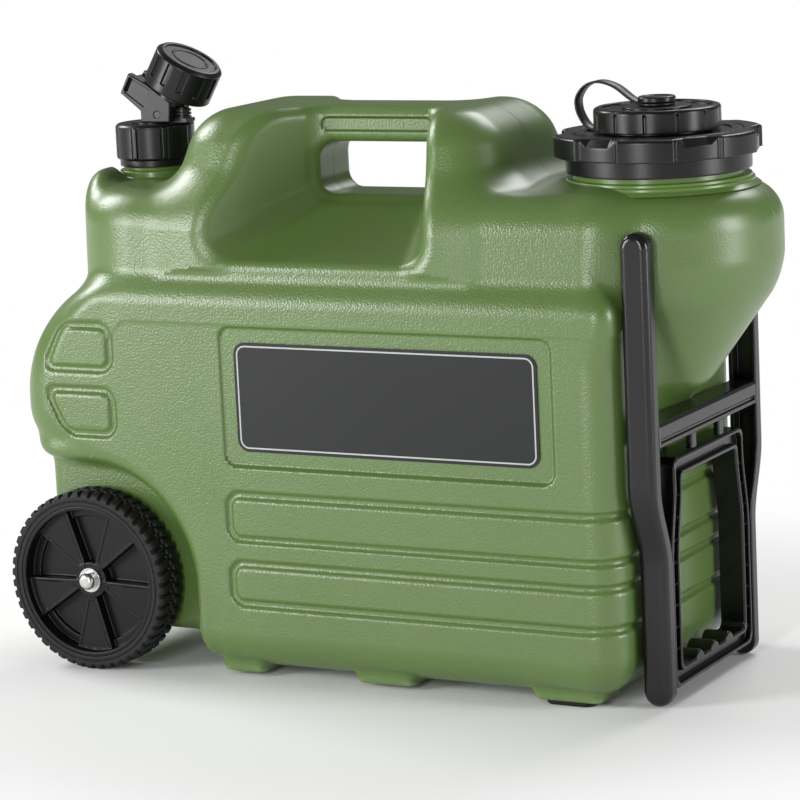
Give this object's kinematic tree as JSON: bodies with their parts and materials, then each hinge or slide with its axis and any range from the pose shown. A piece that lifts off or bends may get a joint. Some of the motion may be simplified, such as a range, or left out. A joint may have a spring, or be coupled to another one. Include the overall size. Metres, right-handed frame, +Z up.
{
  "type": "wheeled water container",
  "caption": "Blow-moulded water container on wheels, with a carry handle, filler cap with small inner cap, screw-on tap and a fold-down pull handle.",
  "frame": {"origin": "on the ground, under the middle of the whole object's bounding box", "axes": "+X along the tank, from the wheels and tap towards the filler cap and pull handle; +Y across it, the label on the -Y side; +Z up"},
  "size_m": [0.543, 0.224, 0.431],
  "materials": {
    "tank_green": "satin, fine leather grain",
    "label_dark": "satin",
    "black_plastic": "satin",
    "strap_plastic": "soft satin",
    "foot_rubber": "matte",
    "seal_rubber": "matte",
    "tyre": "matte",
    "steel": "zinc plated"
  },
  "bodies": {
    "tank": {"tank_side_walls": "tank_green", "tank_floor": "tank_green", "tank_right_end": "tank_green", "tank_chin": "tank_green", "tank_filler_deck": "tank_green", "tank_wheel_arches": "tank_green", "tank_axle_tunnel": "tank_green", "tank_waist_floor": "tank_green", "tank_left_end": "tank_green", "tank_left_shoulder": "tank_green", "tank_tap_deck": "tank_green", "tank_handle_bar": "tank_green", "tank_handle_ends": "tank_green", "tank_grip_floor": "tank_green", "label_plate": "label_dark", "rubber_feet": "foot_rubber", "axle": "steel", "axle_bushes": "black_plastic", "axle_washers": "steel", "axle_nuts": "steel"},
    "wheel_front": {"wheel_hub_front": "black_plastic", "tyre_front": "tyre"},
    "wheel_rear": {"wheel_hub_rear": "black_plastic", "tyre_rear": "tyre"},
    "filler_carriage": {"filler_seal": "seal_rubber"},
    "filler_cap": {"filler_cap": "black_plastic", "cap_strap": "strap_plastic"},
    "small_carriage": {"small_seal": "seal_rubber", "cap_button": "black_plastic"},
    "small_cap": {"small_cap": "black_plastic"},
    "tap": {"tap_base": "black_plastic", "tap_seal": "seal_rubber", "tap_pin": "black_plastic", "tap_head": "black_plastic", "tap_sleeve": "black_plastic"},
    "tap_collar": {"tap_collar": "black_plastic"},
    "tap_knob": {"tap_knob": "black_plastic", "tap_spindle": "black_plastic"},
    "pull_frame": {"pull_frame": "black_plastic", "frame_pins": "steel", "handle_pins": "steel"},
    "pull_handle": {"pull_handle": "black_plastic"}
  },
  "joints": [
    {"name": "wheel_front_roll", "type": "hinge", "parent": "tank", "child": "wheel_front", "pos_m": [-0.208, 0, 0.0635], "axis": [0, 1, 0], "continuous": true},
    {"name": "wheel_rear_roll", "type": "hinge", "parent": "tank", "child": "wheel_rear", "pos_m": [-0.208, 0, 0.0635], "axis": [0, 1, 0], "continuous": true},
    {"name": "filler_lift", "type": "slide", "parent": "tank", "child": "filler_carriage", "axis": [0, 0, 1], "range_m": [0, 0.012]},
    {"name": "filler_turn", "type": "hinge", "parent": "filler_carriage", "child": "filler_cap", "pos_m": [0.1905, 0, 0.35], "axis": [0, 0, 1], "range_deg": [0, 720]},
    {"name": "small_lift", "type": "slide", "parent": "filler_cap", "child": "small_carriage", "axis": [0, 0, 1], "range_m": [0, 0.0045], "deforming": ["cap_strap"]},
    {"name": "small_turn", "type": "hinge", "parent": "small_carriage", "child": "small_cap", "pos_m": [0.1905, 0, 0.38], "axis": [0, 0, 1], "range_deg": [0, 540]},
    {"name": "tap_lift", "type": "slide", "parent": "tank", "child": "tap", "axis": [0, 0, 1], "range_m": [0, 0.01]},
    {"name": "collar_turn", "type": "hinge", "parent": "tap", "child": "tap_collar", "pos_m": [-0.1985, 0, 0.36], "axis": [0, 0, 1], "range_deg": [0, 720]},
    {"name": "knob_turn", "type": "hinge", "parent": "tap", "child": "tap_knob", "pos_m": [-0.1879, 0, 0.3803], "axis": [0.5, 0, 0.866], "range_deg": [0, 180]},
    {"name": "frame_swing", "type": "hinge", "parent": "tank", "child": "pull_frame", "pos_m": [0.211, 0, 0.3055], "axis": [0, -1, 0], "range_deg": [0, 120]},
    {"name": "handle_fold", "type": "hinge", "parent": "pull_frame", "child": "pull_handle", "pos_m": [0.211, 0, 0.0155], "axis": [0, 1, 0], "range_deg": [0, 180]}
  ],
  "couplings": [
    {"joint": "filler_lift", "follows": "filler_turn", "m_per_rad": 0.00095493},
    {"joint": "small_lift", "follows": "small_turn", "m_per_rad": 0.00047746},
    {"joint": "tap_lift", "follows": "collar_turn", "m_per_rad": 0.00079577}
  ]
}
